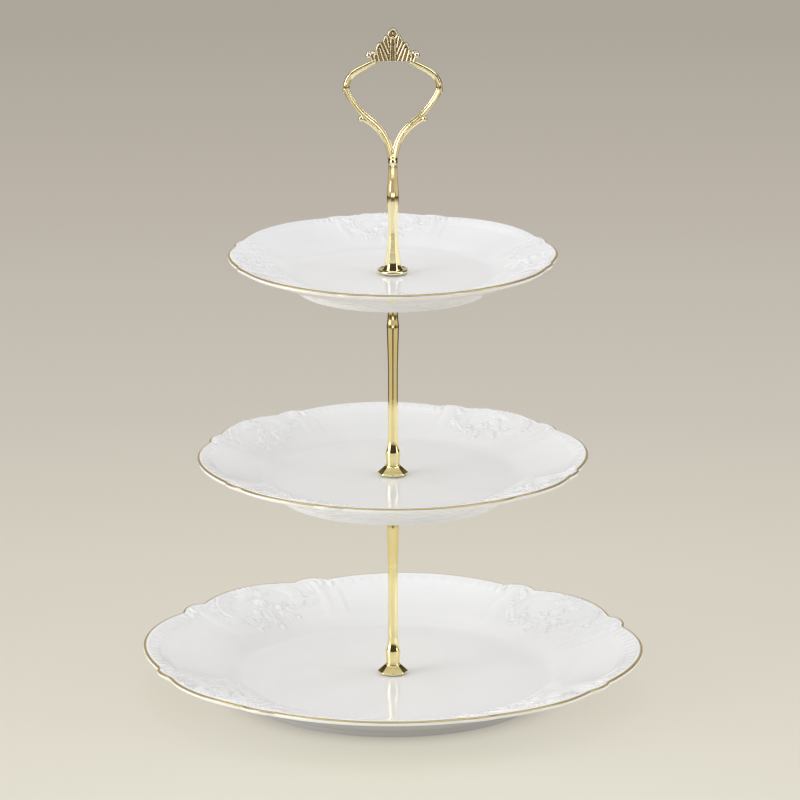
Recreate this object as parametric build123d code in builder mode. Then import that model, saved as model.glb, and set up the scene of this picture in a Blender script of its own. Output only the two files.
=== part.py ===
from build123d import *
import os
from collections import namedtuple
from math import cos, radians, sin

os.makedirs("parts", exist_ok=True)

# ---------------------------------------------------------------- driving dimensions (mm)
# Origin: centre of the lowest foot ring, on the surface that the stand rests on. +Z is up the pole.
TIER_RISE = 111.5  # from one tier's flange to the next
FIRST_WELL_Z = 10.0  # upper face of the bottom plate, inside its well
GASKET_T = 0.8
GASKET_R = 7.2
WASHER_T = 1.0
WASHER_R = 7.0
THREAD_R = 2.0  # M4 coarse thread
THREAD_HOLE_R = 2.05  # tapped holes are drawn plain, with running clearance
PLATED_HOLE_R = 2.02  # hole that the fixed half of a stud sits in
WASHER_HOLE_R = 2.2
ENGAGEMENT = 7.0  # length of thread in the foot of a rod or handle: ten turns
TAPPED_DEPTH = 9.5
STUD_ROOT = 10.0  # length of stud fixed in the head of a rod
PLATE_HOLE_R = 4.0

# Plate heights are measured from the upper face of the well. Angles run anticlockwise from +X.
Plate = namedtuple(
    "Plate",
    "label rim_r rim_h shoulder_r shoulder_h well_r foot_r foot_depth centre_t notch cartouche_deg",
)
PLATES = [
    Plate("bottom_plate", 135.0, 16.5, 95.0, 5.2, 84.0, 81.0, 10.0, 5.0, 4.0, 39.0),
    Plate("middle_plate", 105.0, 12.0, 76.0, 3.8, 67.0, 62.0, 10.0, 4.7, 2.6, 52.5),
    Plate("top_plate", 88.0, 11.5, 62.0, 3.6, 54.0, 52.0, 7.8, 4.3, 1.5, 3.0),
]
RIM_T = 3.0  # thickness at the lip
BODY_T = 4.3  # thickness at the shoulder
FOOT_W = 3.0  # width of the foot ring's standing face
CENTRE_LOBE_DEG = 14.0  # half angle of the lobe at each cartouche
SMALL_LOBE_DEG = 22.5  # outer end of the small lobe beside it

# Rod, measured from the underside of its flange.
FLANGE_R = 8.25  # to the corners of the eight-sided flange
FLANGE_EDGE = 0.9
CONE_TOP = 4.6
CONE_TOP_R = 3.9
NECK_R = 3.5
SOCKET_TOP = 11.6
SOCKET_R = 3.95
OGIVE_TOP = 20.5
SHAFT_R = 2.65
TAPER_LOW = 59.0
TAPER_HIGH = 82.0
TAPER_R = 3.35
SHOULDER_R = 5.25
SHOULDER_T = 1.0

# Handle, measured from the underside of its foot. Its loop and crown lie in the XZ plane.
FOOT_R = 8.25
FOOT_EDGE = 0.9
SKIRT_H = 4.6
SKIRT_R = 4.6
FORK_H = 61.0  # where the stem divides into the two arms
STEM_R = 2.5
ARM_R = 1.4
STRAND_R = 1.15
BUD_R = 2.8
KNEE_R = 1.7  # swelling where the upper arm meets the lower one
SCROLL_R = 1.5  # ball that ends each outer strand
LOBE_R = 1.7  # ball at each end of the crown
CROWN_T = 2.4

well_z = [FIRST_WELL_Z + TIER_RISE * tier for tier in range(3)]
flange_z = [z + GASKET_T for z in well_z]


# ---------------------------------------------------------------- plates
def rim_outline(plate):
    """Scalloped edge: in each quarter a cartouche lobe, a small lobe either side and one long panel lobe."""
    inner = plate.rim_r - plate.notch
    crest = plate.rim_r
    small = plate.rim_r - plate.notch / 3
    lobes = [
        (-CENTRE_LOBE_DEG, CENTRE_LOBE_DEG, crest),
        (CENTRE_LOBE_DEG, SMALL_LOBE_DEG, small),
        (SMALL_LOBE_DEG, 90 - SMALL_LOBE_DEG, crest),
        (90 - SMALL_LOBE_DEG, 90 - CENTRE_LOBE_DEG, small),
    ]

    def at(radius, degrees):
        turn = radians(plate.cartouche_deg + degrees)
        return (radius * cos(turn), radius * sin(turn))

    with BuildSketch() as outline:
        with BuildLine():
            for quarter in range(4):
                for start, end, top in lobes:
                    a = start + 90 * quarter
                    b = end + 90 * quarter
                    ThreePointArc(at(inner, a), at(top, (a + b) / 2), at(inner, b))
        make_face()
    return outline.sketch


def make_plate(plate, z):
    """Body of revolution with a flat well, a curved shoulder and a rising rim, trimmed to its outline."""
    # The section runs past the rim, so that the outline alone cuts the edge.
    slope = (plate.rim_h - plate.shoulder_h) / (plate.rim_r - plate.shoulder_r)
    past_rim = plate.rim_r + 2
    past_h = plate.rim_h + 2 * slope
    inside_foot = plate.foot_r - FOOT_W
    corners = {
        "bore_top": (PLATE_HOLE_R, z),
        "well": (plate.well_r, z),
        "shoulder": (plate.shoulder_r, z + plate.shoulder_h),
        "lip_top": (past_rim, z + past_h),
        "lip_under": (past_rim, z + past_h - RIM_T),
        "body": (plate.shoulder_r + 1.5, z + plate.shoulder_h - BODY_T),
        "foot_top": (plate.foot_r + 1.5, z - plate.foot_depth + 3.2),
        "foot_out": (plate.foot_r, z - plate.foot_depth),
        "foot_in": (inside_foot, z - plate.foot_depth),
        "recess": (inside_foot - 1.2, z - plate.centre_t),
        "bore_low": (PLATE_HOLE_R, z - plate.centre_t),
    }
    rounded = {"well": 14, "shoulder": 14, "body": 14, "foot_top": 3, "foot_out": 0.8, "foot_in": 0.8}
    with BuildPart() as body:
        with BuildSketch(Plane.XZ) as section:
            with BuildLine():
                Polyline(*corners.values(), close=True)
            make_face()
            for name, radius in rounded.items():
                corner = section.vertices().sort_by_distance(Vector(*corners[name]))[0]
                fillet(corner, radius)
        revolve(axis=Axis.Z)
        with BuildSketch(Plane.XY.offset(z - plate.foot_depth)):
            add(rim_outline(plate))
        extrude(amount=plate.foot_depth + plate.rim_h + 5, mode=Mode.INTERSECT)
    body.part.label = plate.label
    return body.part


for tier, plate in enumerate(PLATES):
    export_step(make_plate(plate, well_z[tier]), f"parts/{plate.label}.step")


# ---------------------------------------------------------------- gaskets, washers, studs and screw
def make_disc(label, z, radius, thickness, edge):
    """Flat ring with a clearance hole for the thread and a slightly rounded rim."""
    with BuildPart() as disc:
        with BuildSketch(Plane.XY.offset(z)):
            Circle(radius)
            Circle(WASHER_HOLE_R, mode=Mode.SUBTRACT)
        extrude(amount=thickness)
        fillet(disc.edges().filter_by(GeomType.CIRCLE).group_by(SortBy.RADIUS)[-1], edge)
    disc.part.label = label
    return disc.part


for tier, plate in enumerate(PLATES):
    tier_name = plate.label.removesuffix("_plate")
    underside_z = well_z[tier] - plate.centre_t
    gasket_z = underside_z - GASKET_T
    washer_z = gasket_z - WASHER_T
    washer_name = "base_washer" if tier == 0 else f"{tier_name}_washer"
    discs = [
        make_disc(f"{tier_name}_upper_gasket", well_z[tier], GASKET_R, GASKET_T, 0.15),
        make_disc(f"{tier_name}_lower_gasket", gasket_z, GASKET_R, GASKET_T, 0.15),
        make_disc(washer_name, washer_z, WASHER_R, WASHER_T, 0.25),
    ]
    for disc in discs:
        export_step(disc, f"parts/{disc.label}.step")

# Underside of the washer that each rod or screw head bears on.
bearing_z = [well_z[tier] - plate.centre_t - GASKET_T - WASHER_T for tier, plate in enumerate(PLATES)]

SCREW_HEAD_R = 4.0
SCREW_HEAD_T = 2.2
RECESS_LENGTH = 4.4
RECESS_WIDTH = 1.0
RECESS_DEPTH = 1.3
THREAD_CHAMFER = 0.5

with BuildPart() as base_screw:
    with BuildSketch(Plane.XY.offset(bearing_z[0] - SCREW_HEAD_T)):
        Circle(SCREW_HEAD_R)
    extrude(amount=SCREW_HEAD_T)
    fillet(base_screw.faces().sort_by(Axis.Z)[0].edges(), 1.2)
    with BuildSketch(Plane.XY.offset(bearing_z[0])):
        Circle(THREAD_R)
    extrude(amount=flange_z[0] + ENGAGEMENT - bearing_z[0])
    chamfer(base_screw.faces().sort_by(Axis.Z)[-1].edges(), THREAD_CHAMFER)
    with BuildSketch(Plane.XY.offset(bearing_z[0] - SCREW_HEAD_T)):
        with PolarLocations(0, 2, angular_range=180):
            Rectangle(RECESS_LENGTH, RECESS_WIDTH)
    extrude(amount=RECESS_DEPTH, mode=Mode.SUBTRACT)
base_screw.part.label = "base_screw"
export_step(base_screw.part, "parts/base_screw.step")


def make_stud(label, shoulder_z, next_flange_z):
    """Threaded stud: its lower end is fixed in a rod's head, its upper end takes the next rod or the handle."""
    with BuildPart() as stud:
        with BuildSketch(Plane.XY.offset(shoulder_z - STUD_ROOT)):
            Circle(THREAD_R)
        extrude(amount=STUD_ROOT + next_flange_z + ENGAGEMENT - shoulder_z)
        chamfer(stud.edges().filter_by(GeomType.CIRCLE), THREAD_CHAMFER)
    stud.part.label = label
    return stud.part


for rod_name, tier in (("lower_rod", 0), ("upper_rod", 1)):
    stud = make_stud(f"{rod_name}_stud", bearing_z[tier + 1], flange_z[tier + 1])
    export_step(stud, f"parts/{stud.label}.step")


# ---------------------------------------------------------------- rods
def make_rod(label, z, top_z):
    """Eight-sided flange and cone, a socket with an ogive shoulder, a slim shaft and a flared head."""
    with BuildPart() as rod:
        with BuildSketch(Plane.XY.offset(z)):
            RegularPolygon(FLANGE_R, 8)
        extrude(amount=FLANGE_EDGE)
        with BuildSketch(Plane.XY.offset(z + FLANGE_EDGE)):
            RegularPolygon(FLANGE_R, 8)
        with BuildSketch(Plane.XY.offset(z + CONE_TOP)):
            RegularPolygon(CONE_TOP_R, 8)
        loft()
        with BuildSketch(Plane.XZ):
            with BuildLine():
                Polyline((SOCKET_R, z + SOCKET_TOP), (NECK_R, z + CONE_TOP), (NECK_R, z), (0, z), (0, top_z))
                Polyline((0, top_z), (SHOULDER_R, top_z), (SHOULDER_R, top_z - SHOULDER_T))
                flare_start = (SHOULDER_R, top_z - SHOULDER_T)
                flare = TangentArc(flare_start, (TAPER_R, z + TAPER_HIGH), tangent=(-0.35, -1))
                Line(flare @ 1, (SHAFT_R, z + TAPER_LOW))
                Line((SHAFT_R, z + TAPER_LOW), (SHAFT_R, z + OGIVE_TOP))
                TangentArc((SHAFT_R, z + OGIVE_TOP), (SOCKET_R, z + SOCKET_TOP), tangent=(0.02, -1))
            make_face()
        revolve(axis=Axis.Z)
        with BuildSketch(Plane.XY.offset(z)):
            Circle(THREAD_HOLE_R)
        extrude(amount=TAPPED_DEPTH, mode=Mode.SUBTRACT)
        with BuildSketch(Plane.XY.offset(top_z - STUD_ROOT)):
            Circle(PLATED_HOLE_R)
        extrude(amount=STUD_ROOT, mode=Mode.SUBTRACT)
    rod.part.label = label
    return rod.part


for rod_name, tier in (("lower_rod", 0), ("upper_rod", 1)):
    rod = make_rod(rod_name, flange_z[tier], bearing_z[tier + 1])
    export_step(rod, f"parts/{rod_name}.step")

# ---------------------------------------------------------------- handle
handle_z = flange_z[2]


def at(x, height):
    """Point in the handle's own plane."""
    return Vector(x, 0, handle_z + height)


def foot_and_stem():
    """Dished foot, skirt, waist and belly, turned about the pole's axis."""
    with BuildPart() as stem:
        with BuildSketch(Plane.XZ):
            with BuildLine():
                Line((0, 0), (FOOT_R - 0.7, 0))
                ThreePointArc((FOOT_R - 0.7, 0), (FOOT_R, FOOT_EDGE), (FOOT_R - 0.8, 2 * FOOT_EDGE))
                Line((FOOT_R - 0.8, 2 * FOOT_EDGE), (SKIRT_R + 1.2, 1.6 * FOOT_EDGE))
                Line((SKIRT_R + 1.2, 1.6 * FOOT_EDGE), (SKIRT_R, SKIRT_H))
                Spline((SKIRT_R, SKIRT_H), (2.55, 25), (3.35, 42), (STEM_R, 55), (STEM_R, FORK_H + 1))
                Polyline((STEM_R, FORK_H + 1), (0, FORK_H + 1), (0, 0))
            make_face()
        revolve(axis=Axis.Z)
    return stem.part.moved(Location((0, 0, handle_z)))


def bar(line, radius):
    """Round bar along a line."""
    with BuildPart() as rod:
        with BuildSketch(Plane(line @ 0, z_dir=line % 0)):
            Circle(radius)
        sweep(path=line)
    return rod.part


def half_loop():
    """One side of the loop: a lower arm, an upper arm and the outer strand that springs from the stem."""
    neck = ThreePointArc(at(0.6, FORK_H - 2), at(5.0, 75.9), at(12.0, 83.3))
    hip = TangentArc(neck @ 1, at(24.6, 99.9), tangent=neck % 1)
    shoulder = ThreePointArc(at(24.6, 99.9), at(21.4, 107.3), at(9.4, 114.6))
    strand = ThreePointArc(at(1.2, FORK_H - 1), at(6.9, 76.4), at(16.3, 83.8))
    with BuildPart() as half:
        for line, radius in ((neck, ARM_R), (hip, ARM_R), (shoulder, ARM_R), (strand, STRAND_R)):
            add(bar(line, radius))
        for knob, radius in ((hip @ 1, KNEE_R), (strand @ 1, SCROLL_R)):
            with Locations(knob):
                Sphere(radius)
    return half.part


def crown():
    """Stepped palmette: pointed leaves rising to the middle over an arched base, with a ball at each end."""
    with BuildPart() as palmette:
        with BuildSketch(Plane.XZ.offset(-CROWN_T / 2)):
            with BuildLine():
                ThreePointArc((0, 133.2), (1.5, 131.4), (2.4, 129.5))
                ThreePointArc((3.4, 129.3), (4.2, 128.1), (4.6, 126.8))
                ThreePointArc((6.9, 125.2), (8.0, 123.9), (8.5, 122.4))
                Line((2.4, 129.5), (3.4, 129.3))
                Line((4.6, 126.8), (6.9, 125.2))
                Polyline((8.5, 122.4), (11.6, 120.0), (12.4, 117.4), (10.4, 114.1))
                ThreePointArc((10.4, 114.1), (5.3, 114.8), (0, 115.0))
                mirror(about=Plane.YZ)
            make_face()
        extrude(amount=CROWN_T)
    return palmette.part.moved(Location((0, 0, handle_z)))


with BuildPart() as crown_handle:
    add(foot_and_stem())
    add(half_loop())
    mirror(about=Plane.YZ)
    add(crown())
    with Locations(at(12.6, 118.2), at(-12.6, 118.2)):
        Sphere(LOBE_R)
    with Locations(at(0, FORK_H)):
        Sphere(BUD_R)
    with BuildSketch(Plane.XY.offset(handle_z)):
        Circle(THREAD_HOLE_R)
    extrude(amount=TAPPED_DEPTH, mode=Mode.SUBTRACT)
crown_handle.part.label = "crown_handle"
export_step(crown_handle.part, "parts/crown_handle.step")
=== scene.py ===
"""Looks of the three-tier cake stand: porcelain plates in relief, gold-plated poles and handle."""

import math
from collections import namedtuple

import bmesh
import bpy
import numpy as np
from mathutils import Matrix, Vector


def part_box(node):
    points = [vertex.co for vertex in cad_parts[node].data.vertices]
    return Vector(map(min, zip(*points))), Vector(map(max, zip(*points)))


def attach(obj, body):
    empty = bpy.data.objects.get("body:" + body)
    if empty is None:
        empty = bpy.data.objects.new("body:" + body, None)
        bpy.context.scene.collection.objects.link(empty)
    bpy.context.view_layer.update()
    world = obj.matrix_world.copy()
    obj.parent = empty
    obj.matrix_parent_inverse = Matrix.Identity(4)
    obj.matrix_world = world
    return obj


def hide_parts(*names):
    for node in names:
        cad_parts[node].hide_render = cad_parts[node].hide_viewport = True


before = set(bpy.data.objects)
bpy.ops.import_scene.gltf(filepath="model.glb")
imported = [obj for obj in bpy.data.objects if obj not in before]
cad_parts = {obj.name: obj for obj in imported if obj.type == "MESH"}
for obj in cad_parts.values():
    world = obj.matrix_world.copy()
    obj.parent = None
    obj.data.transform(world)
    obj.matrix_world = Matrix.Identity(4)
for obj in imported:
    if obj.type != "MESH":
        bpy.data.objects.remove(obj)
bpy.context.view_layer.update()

MM = 0.001


def deg_cos(degrees):
    return np.cos(np.radians(degrees))


def deg_sin(degrees):
    return np.sin(np.radians(degrees))


# ---------------------------------------------------------------- camera
TILT = 15.64  # degrees that the camera looks down
DISTANCE = 4.0
AIM = Vector((0.0038, 0.0, 0.163))
LENS = 336.8  # millimetres, as is the sensor
SENSOR = 36.0

camera = bpy.data.objects.new("camera", bpy.data.cameras.new("camera"))
bpy.context.scene.collection.objects.link(camera)
camera.data.lens = LENS
camera.data.sensor_width = SENSOR
camera.data.clip_end = 60.0
towards = Vector((0.0, -math.cos(math.radians(TILT)), math.sin(math.radians(TILT))))
camera.location = AIM + towards * DISTANCE
camera.rotation_euler = (-towards).to_track_quat("-Z", "Y").to_euler()
bpy.context.scene.camera = camera
bpy.context.scene.view_settings.view_transform = "Standard"


# ---------------------------------------------------------------- materials
BLACK = (0.0, 0.0, 0.0, 1.0)
FINE_BUMP = 0.0002  # depth of a fine surface texture, in metres


def fill(tree, made, **inputs):
    """Sets a node's inputs; a socket given as a value is linked."""
    for name, value in inputs.items():
        socket = made.inputs[name.replace("_", " ")]
        if isinstance(value, bpy.types.NodeSocket):
            tree.links.new(value, socket)
        else:
            socket.default_value = value


def node(tree, kind, **inputs):
    made = tree.nodes.new(kind)
    fill(tree, made, **inputs)
    return made


def new_material(name, **inputs):
    """Principled material, with the node tree and shader that its maker adds to."""
    material = bpy.data.materials.new(name)
    material.use_nodes = True
    tree = material.node_tree
    shader = tree.nodes["Principled BSDF"]
    fill(tree, shader, **inputs)
    return material, tree, shader


def object_place(tree):
    """Position on the piece, in metres."""
    return node(tree, "ShaderNodeTexCoord").outputs["Object"]


def ramp(tree, factor, *stops):
    """Colour that runs through the given (position, colour) stops."""
    made = node(tree, "ShaderNodeValToRGB", Fac=factor)
    elements = made.color_ramp.elements
    while len(elements) < len(stops):
        elements.new(0.5)
    for element, (position, colour) in zip(elements, stops):
        element.position = position
        element.color = (*colour, 1.0)
    return made.outputs["Color"]


def noise(tree, place, scale, detail):
    return node(tree, "ShaderNodeTexNoise", Vector=place, Scale=scale, Detail=detail).outputs["Fac"]


def spread(tree, factor, low, high):
    """Maps a 0 to 1 factor to the range low to high."""
    return node(tree, "ShaderNodeMapRange", Value=factor, To_Min=low, To_Max=high).outputs["Result"]


def bump(tree, height, strength, distance=FINE_BUMP):
    made = node(tree, "ShaderNodeBump", Height=height, Strength=strength, Distance=distance)
    return made.outputs["Normal"]


def mix(tree, share, first, second, blend="MIX"):
    made = node(tree, "ShaderNodeMixRGB", Fac=share, Color1=first, Color2=second)
    made.blend_type = blend
    return made.outputs["Color"]


def porcelain_material():
    """Bright glaze with a faint orange-peel surface, greyer where it pools beside the relief, which also
    paints shade there, and with painted shade on the underside.
    """
    material, tree, shader = new_material("glazed_porcelain", IOR=1.5)
    place = object_place(tree)
    cloud = noise(tree, place, 28.0, 2.0)
    body = ramp(tree, cloud, (0.3, (0.845, 0.845, 0.845)), (0.7, (0.87, 0.87, 0.868)))
    pool_shade_share = node(tree, "ShaderNodeAttribute")
    pool_shade_share.attribute_name = "pool_and_shade"
    # Painted shade: the pool-and-shade share greys the glaze in the relief's hollows and on the underside.
    shade_tint = mix(tree, pool_shade_share.outputs["Fac"], body, (0.61, 0.60, 0.625, 1.0), "MULTIPLY")
    gloss = spread(tree, noise(tree, place, 60.0, 3.0), 0.09, 0.17)
    peel = bump(tree, noise(tree, place, 420.0, 2.0), 0.05, 2 * FINE_BUMP)
    fill(tree, shader, Base_Color=shade_tint, Roughness=gloss, Normal=peel)
    return material


def grainy_material(name, scale, detail, low, dark, high, light, gloss, strength, **plain):
    """One grain that gives the colour, from dark at low to light at high, polish and texture."""
    material, tree, shader = new_material(name, **plain)
    grain = noise(tree, object_place(tree), scale, detail)
    fill(
        tree,
        shader,
        Base_Color=ramp(tree, grain, (low, dark), (high, light)),
        Roughness=spread(tree, grain, *gloss),
        Normal=bump(tree, grain, strength),
    )
    return material


def metal_material(name, dark, light, gloss, grain_scale, bump_strength, turned=False, **plain):
    """Polished plated metal: slight colour drift, uneven polish and fine surface texture."""
    material, tree, shader = new_material(name, **{"Metallic": 1.0, **plain})
    place = object_place(tree)
    drift = ramp(tree, noise(tree, place, 90.0, 3.0), (0.3, dark), (0.7, light))
    polish = spread(tree, noise(tree, place, 240.0, 4.0), *gloss)
    if turned:
        stretch = node(tree, "ShaderNodeMapping", Vector=place, Scale=(0.08, 0.08, 1.0))
        place = stretch.outputs["Vector"]
    texture = bump(tree, noise(tree, place, grain_scale, 3.0), bump_strength)
    fill(tree, shader, Base_Color=drift, Roughness=polish, Normal=texture)
    return material


def darken(material, open_share, shade):
    """Mixes a material's colour towards a shade where open_share is low."""
    tree = material.node_tree
    shader = tree.nodes["Principled BSDF"]
    bright = shader.inputs["Base Color"].links[0].from_socket
    fill(tree, shader, Base_Color=mix(tree, open_share, (*shade, 1.0), bright))


def darken_hollows(material, shade, low, high):
    """Old polish and shadow in the hollows of a casting, from how far its skin curves inward."""
    tree = material.node_tree
    curve = node(tree, "ShaderNodeNewGeometry").outputs["Pointiness"]
    open_share = node(tree, "ShaderNodeMapRange", Value=curve, From_Min=low, From_Max=high)
    open_share.interpolation_type = "SMOOTHSTEP"
    darken(material, open_share.outputs["Result"], shade)


def darken_recess(material, shade, low, high):
    """Shadow in the ground of a two-faced casting, nearer its middle plane, y = 0, than high mm."""
    tree = material.node_tree
    parts = node(tree, "ShaderNodeSeparateXYZ", Vector=object_place(tree))
    out = node(tree, "ShaderNodeMath", Value=parts.outputs["Y"])
    out.operation = "ABSOLUTE"
    reach = out.outputs["Value"]
    raised = node(tree, "ShaderNodeMapRange", Value=reach, From_Min=low * MM, From_Max=high * MM)
    darken(material, raised.outputs["Result"], shade)


PORCELAIN = porcelain_material()
BISCUIT = grainy_material(  # unglazed standing face of a foot ring, ground flat
    "unglazed_foot", 900.0, 4.0, 0.35, (0.60, 0.585, 0.56), 0.65, (0.76, 0.75, 0.73), (0.6, 0.85), 0.35,
    IOR=1.45,
)
GOLD_CAST = metal_material(
    "gold_plated_casting", (0.95, 0.83, 0.47), (0.98, 0.89, 0.56), (0.06, 0.13), 700.0, 0.04
)
GOLD_TURNED = metal_material(
    "gold_plated_turned", (0.94, 0.80, 0.39), (0.97, 0.86, 0.47), (0.05, 0.12), 2600.0, 0.05, True
)
# Paler copy of the cast gold: painted light that makes the palmette's ribs read brighter.
GOLD_CROWN_PAINTED_LIGHT = metal_material(
    "gold_plated_palmette", (0.98, 0.91, 0.67), (1.0, 0.95, 0.76), (0.10, 0.18), 700.0, 0.04
)
darken_hollows(GOLD_CAST, (0.22, 0.15, 0.055), 0.40, 0.485)
darken_recess(GOLD_CROWN_PAINTED_LIGHT, (0.24, 0.17, 0.07), 0.35, 0.8)
GOLD_LINE = metal_material(
    "burnished_gold_line", (0.50, 0.405, 0.18), (0.60, 0.49, 0.24), (0.26, 0.42), 900.0, 0.10,
    Metallic=0.55,
)
STEEL = metal_material(
    "zinc_plated_steel", (0.56, 0.57, 0.58), (0.70, 0.70, 0.69), (0.20, 0.38), 2200.0, 0.12, True
)
GASKET = grainy_material(  # milky soft plastic that lets some light through
    "clear_plastic", 300.0, 3.0, 0.3, (0.80, 0.81, 0.80), 0.7, (0.90, 0.905, 0.89), (0.28, 0.42), 0.1,
    IOR=1.48, Transmission_Weight=0.55,
)


# ---------------------------------------------------------------- mesh tools
BALL_SIDES = 20
BALL_RINGS = 13
END_SHARES = (0.4, 0.8, 1.0)  # how far out a bar's round end gets its rings, against its radius


class Skin:
    """Collects rings of points, in millimetres, and the faces between them."""

    def __init__(self):
        self.points = []
        self.faces = []
        self.paint = []

    def ring(self, points):
        start = len(self.points)
        self.points.extend(map(tuple, points))
        return list(range(start, len(self.points)))

    def circle(self, turn, radius, height):
        """Ring about the pole's axis, at angles in degrees."""
        x, y = radius * deg_cos(turn), radius * deg_sin(turn)
        return self.ring(np.column_stack((x, y, np.full(len(turn), height))))

    def add(self, face, paint=0):
        self.faces.append(face)
        self.paint.append(paint)

    def bridge(self, a, b, paint=0):
        """Joins two closed rings. One may have a whole multiple of the other's points, or just one."""
        if len(a) > len(b):
            a, b = b, a
        share = len(b) // len(a)
        for i, corner in enumerate(a):
            following = a[(i + 1) % len(a)]
            fine = [b[(i * share + k) % len(b)] for k in range(share + 1)]
            if len(a) == 1:
                for k in range(share):
                    self.add((corner, fine[k], fine[k + 1]), paint)
            elif share == 1:
                self.add((corner, following, fine[1], fine[0]), paint)
            else:
                half = share // 2
                for k in range(share):
                    near = corner if k < half else following
                    self.add((near, fine[k + 1], fine[k]), paint)
                self.add((corner, following, fine[half]), paint)

    def chain(self, rings, paints=None, closed=False):
        """Bridges each ring to the next, and the last to the first if closed."""
        pairs = list(zip(rings, rings[1:] + rings[:1] if closed else rings[1:]))
        for i, (a, b) in enumerate(pairs):
            self.bridge(a, b, paints[i] if paints else 0)

    def tube(self, centres, radii, sides=14, depth=1.0):
        """Round-ended bar along a line in the handle's plane; depth scales it across that plane."""
        centres = np.array(centres, float)
        radii = np.broadcast_to(np.asarray(radii, float), len(centres))
        along = np.gradient(centres, axis=0)
        along /= np.linalg.norm(along, axis=1)[:, None]
        across = np.array([0.0, 1.0, 0.0])
        turn = np.arange(sides) * 2 * np.pi / sides

        def section(centre, direction, radius):
            if not radius:
                return self.ring([centre])
            normal = np.cross(direction, across)
            spoke = np.outer(np.cos(turn), normal) + np.outer(np.sin(turn) * depth, across)
            return self.ring(centre + spoke * radius)

        def round_end(k, sign):
            reach = along[k] * radii[k] * sign
            return [
                (centres[k] + reach * share, along[k], radii[k] * math.sqrt(1 - share**2))
                for share in END_SHARES
            ]

        sections = [*round_end(0, -1)[::-1], *zip(centres, along, radii), *round_end(-1, 1)]
        self.chain([section(*row) for row in sections])

    def ball(self, centre, radius, stretch=(1.0, 1.0, 1.0)):
        """Round knob with its poles up and down."""
        turn = np.arange(BALL_SIDES) * 2 * np.pi / BALL_SIDES
        rings = []
        for lift in np.linspace(-90, 90, BALL_RINGS):
            r = radius * float(deg_cos(lift))
            z = radius * float(deg_sin(lift))
            spots = np.column_stack((np.cos(turn) * r, np.sin(turn) * r, np.full(BALL_SIDES, z)))
            if abs(lift) == 90:
                spots = np.array([[0.0, 0.0, z]])
            rings.append(self.ring(np.array(centre) + spots * np.array(stretch)))
        self.chain(rings)

    def build(self, name, materials, sharp=None, body=None, replaces=(), slot=None):
        """Makes the smooth-shaded object in metres and, given a body, ties it to the frame."""
        mesh = bpy.data.meshes.new(name)
        mesh.from_pydata((np.array(self.points) * MM).tolist(), [], self.faces)
        for material in materials:
            mesh.materials.append(material)
        mesh.polygons.foreach_set("material_index", self.paint)
        shape = bmesh.new()
        shape.from_mesh(mesh)
        bmesh.ops.recalc_face_normals(shape, faces=shape.faces)
        shape.to_mesh(mesh)
        shape.free()
        mesh.polygons.foreach_set("use_smooth", [True] * len(mesh.polygons))
        if sharp:
            mesh.set_sharp_from_angle(angle=math.radians(sharp))
        made = bpy.data.objects.new(name, mesh)
        bpy.context.scene.collection.objects.link(made)
        if body:
            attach(made, body)
            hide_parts(*replaces)
        return made


def paint_points(made, name, kind, field, values):
    """Stores a value or colour on every point of a piece for its material to read."""
    attribute = made.data.attributes.new(name, kind, "POINT")
    attribute.data.foreach_set(field, values.astype(np.float32).ravel())


def unit(vector):
    return vector / np.linalg.norm(vector)


def rounded(points, radii, step=14.0):
    """Open line with its corners rounded to the given radii; 0 keeps a corner sharp."""
    points = [np.array(p, float) for p in points]
    line = [points[0]]
    for i in range(1, len(points) - 1):
        corner = points[i]
        if not radii[i]:
            line.append(corner)
            continue
        before = unit(points[i - 1] - corner)
        after = unit(points[i + 1] - corner)
        half = math.acos(max(-1.0, min(1.0, before @ after))) / 2
        reach = radii[i] / math.tan(half)
        centre = corner + unit(before + after) * radii[i] / math.sin(half)
        start = corner + before * reach - centre
        end = corner + after * reach - centre
        sweep = math.pi - 2 * half
        count = max(2, math.ceil(math.degrees(sweep) / step))
        for k in range(count + 1):
            t = k / count
            a = math.sin((1 - t) * sweep) / math.sin(sweep)
            b = math.sin(t * sweep) / math.sin(sweep)
            line.append(centre + start * a + end * b)
    line.append(points[-1])
    return line


def arc_from(a, centre, sweep, count):
    """Points on the circle arc that starts at a and sweeps an angle, in radians, about a centre."""
    turn = math.atan2(*(a - centre)[::-1]) + sweep * np.linspace(0, 1, count)
    return centre + np.linalg.norm(a - centre) * np.column_stack((np.cos(turn), np.sin(turn)))


def arc3(a, b, c, count):
    """Points on the circle arc from a through b to c."""
    a, b, c = (np.array(p, float) for p in (a, b, c))
    rows = np.array([b - a, c - a]) * 2
    side = np.array([b @ b - a @ a, c @ c - a @ a])
    centre = np.linalg.solve(rows, side)
    angles = [math.atan2(*(p - centre)[::-1]) for p in (a, b, c)]
    sweep = (angles[2] - angles[0]) % (2 * math.pi)
    if (angles[1] - angles[0]) % (2 * math.pi) > sweep:
        sweep -= 2 * math.pi
    return arc_from(a, centre, sweep, count)


def tangent_arc(a, direction, c, count):
    """Points on the circle arc that leaves a in a direction and ends at c."""
    a, c = np.array(a, float), np.array(c, float)
    normal = unit(np.array([-direction[1], direction[0]], float))
    chord = c - a
    centre = a + normal * (chord @ chord) / (2 * (normal @ chord))
    start, end = (math.atan2(*(p - centre)[::-1]) for p in (a, c))
    sweep = (end - start + math.pi) % (2 * math.pi) - math.pi
    return arc_from(a, centre, sweep, count)


def smooth_line(points, count):
    """Catmull-Rom curve through the points, in any number of dimensions."""
    points = np.array(points, float)
    padded = np.vstack((2 * points[0] - points[1], points, 2 * points[-1] - points[-2]))
    spot = np.linspace(0, len(points) - 1, count)
    piece = np.minimum(spot.astype(int), len(points) - 2)
    t = (spot - piece)[:, None]
    p0, p1, p2, p3 = (padded[piece + k] for k in range(4))
    return 0.5 * (
        2 * p1
        + (p2 - p0) * t
        + (2 * p0 - 5 * p1 + 4 * p2 - p3) * t**2
        + (3 * p1 - p0 - 3 * p2 + p3) * t**3
    )


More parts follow.
